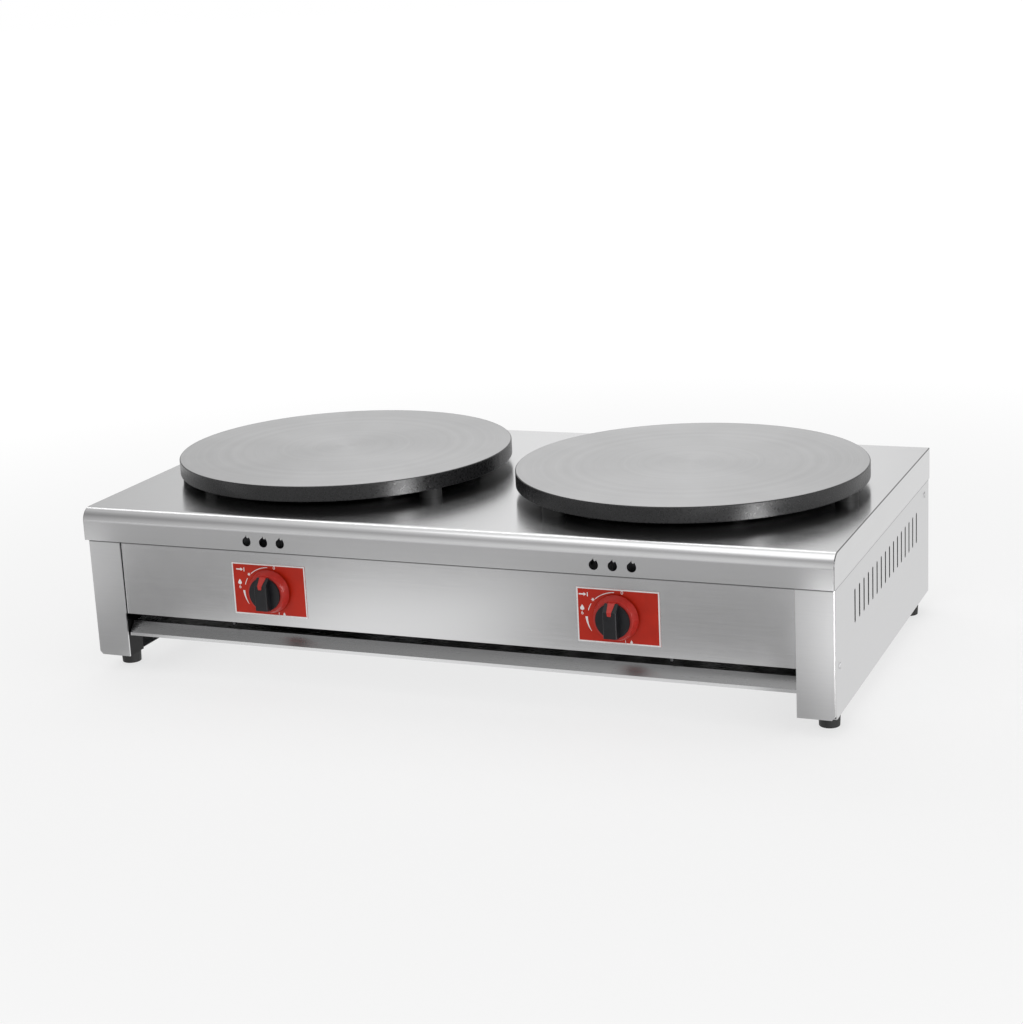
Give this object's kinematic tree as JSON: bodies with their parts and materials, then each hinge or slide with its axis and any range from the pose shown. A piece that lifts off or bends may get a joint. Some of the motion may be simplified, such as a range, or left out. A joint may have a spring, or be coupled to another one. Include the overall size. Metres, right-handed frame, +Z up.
{
  "type": "double gas crepe maker",
  "caption": "Countertop gas cooker with round cast-iron crepe plates on a stainless case, a turn-and-push gas knob under each plate and a crumb tray that slides out below.",
  "frame": {"origin": "on the table under the middle of the appliance, midway from the knobs to the gas inlet", "axes": "+X to the viewer's right, -Y to the front where the knobs are, +Z up"},
  "size_m": [0.882, 0.5046, 0.226],
  "materials": {
    "stainless": "brushed stainless sheet, grain along X",
    "galvanised": "plain zinc-coated steel",
    "cast_iron_plate": "machined, seasoned cast iron",
    "cast_iron_burner": "rough cast iron",
    "brass": "machined brass",
    "black_plastic": "black heat-proof plastic",
    "red_plastic": "red satin plastic",
    "dial_red": "red print with a white border",
    "rubber_black": "black rubber",
    "zinc": "bright zinc-plated steel",
    "ceramic": "white glazed ceramic",
    "red_wire": "silicone insulation",
    "copper": "copper probe and capillary"
  },
  "bodies": {
    "case": {"control_panel": "stainless", "foot_bolts": "zinc", "front_crossbar": "galvanised", "front_left_foot": "rubber_black", "front_right_foot": "rubber_black", "gas_manifold": "galvanised", "inlet_connector": "brass", "inlet_locknut": "brass", "left_burner_bracket": "galvanised", "left_burner_head": "cast_iron_burner", "left_dial_plate": "dial_red", "left_electrode": "ceramic", "left_igniter": "black_plastic", "left_ignition_lead": "red_wire", "left_injector": "brass", "left_magnet_unit": "brass", "left_mixer_tube": "cast_iron_burner", "left_side_panel": "stainless", "left_thermocouple": "copper", "left_tray_runner": "galvanised", "left_valve_body": "brass", "left_valve_bonnet": "brass", "m4_screws": "zinc", "pipe_straps": "galvanised", "rear_crossbar": "galvanised", "rear_left_foot": "rubber_black", "rear_panel": "stainless", "rear_right_foot": "rubber_black", "right_burner_bracket": "galvanised", "right_burner_head": "cast_iron_burner", "right_dial_plate": "dial_red", "right_electrode": "ceramic", "right_igniter": "black_plastic", "right_ignition_lead": "red_wire", "right_injector": "brass", "right_magnet_unit": "brass", "right_mixer_tube": "cast_iron_burner", "right_side_panel": "stainless", "right_thermocouple": "copper", "right_tray_runner": "galvanised", "right_valve_body": "brass", "right_valve_bonnet": "brass", "side_rivets": "stainless", "supply_pipe": "galvanised", "top_cover": "stainless"},
    "crumb_tray": {"crumb_tray": "stainless"},
    "left_crepe_plate": {"left_crepe_plate": "cast_iron_plate"},
    "left_valve_plug": {"left_valve_plug": "brass"},
    "left_knob": {"left_knob_skirt": "red_plastic", "left_knob_grip": "black_plastic", "left_valve_stem": "brass", "left_stem_spring": "zinc"},
    "left_air_shutter": {"left_air_shutter": "galvanised"},
    "right_crepe_plate": {"right_crepe_plate": "cast_iron_plate"},
    "right_valve_plug": {"right_valve_plug": "brass"},
    "right_knob": {"right_knob_skirt": "red_plastic", "right_knob_grip": "black_plastic", "right_valve_stem": "brass", "right_stem_spring": "zinc"},
    "right_air_shutter": {"right_air_shutter": "galvanised"}
  },
  "joints": [
    {"name": "tray_slide", "type": "slide", "parent": "case", "child": "crumb_tray", "axis": [0, -1, 0], "range_m": [0, 0.38]},
    {"name": "left_plate_lift", "type": "slide", "parent": "case", "child": "left_crepe_plate", "axis": [0, 0, 1], "range_m": [0, 0.06]},
    {"name": "right_plate_lift", "type": "slide", "parent": "case", "child": "right_crepe_plate", "axis": [0, 0, 1], "range_m": [0, 0.06]},
    {"name": "left_knob_turn", "type": "hinge", "parent": "case", "child": "left_valve_plug", "pos_m": [-0.206, -0.21, 0.113], "axis": [0, -1, 0], "range_deg": [0, 210]},
    {"name": "left_knob_push", "type": "slide", "parent": "left_valve_plug", "child": "left_knob", "axis": [0, 1, 0], "range_m": [0, 0.0025], "stiffness_N_per_m": 800, "springref_m": -0.002, "deforming": ["left_stem_spring"]},
    {"name": "right_knob_turn", "type": "hinge", "parent": "case", "child": "right_valve_plug", "pos_m": [0.206, -0.21, 0.113], "axis": [0, -1, 0], "range_deg": [0, 210]},
    {"name": "right_knob_push", "type": "slide", "parent": "right_valve_plug", "child": "right_knob", "axis": [0, 1, 0], "range_m": [0, 0.0025], "stiffness_N_per_m": 800, "springref_m": -0.002, "deforming": ["right_stem_spring"]},
    {"name": "left_shutter_turn", "type": "hinge", "parent": "case", "child": "left_air_shutter", "pos_m": [-0.218, -0.159, 0.131], "axis": [0, 1, 0], "range_deg": [0, 40]},
    {"name": "right_shutter_turn", "type": "hinge", "parent": "case", "child": "right_air_shutter", "pos_m": [0.218, -0.159, 0.131], "axis": [0, -1, 0], "range_deg": [0, 40]}
  ]
}
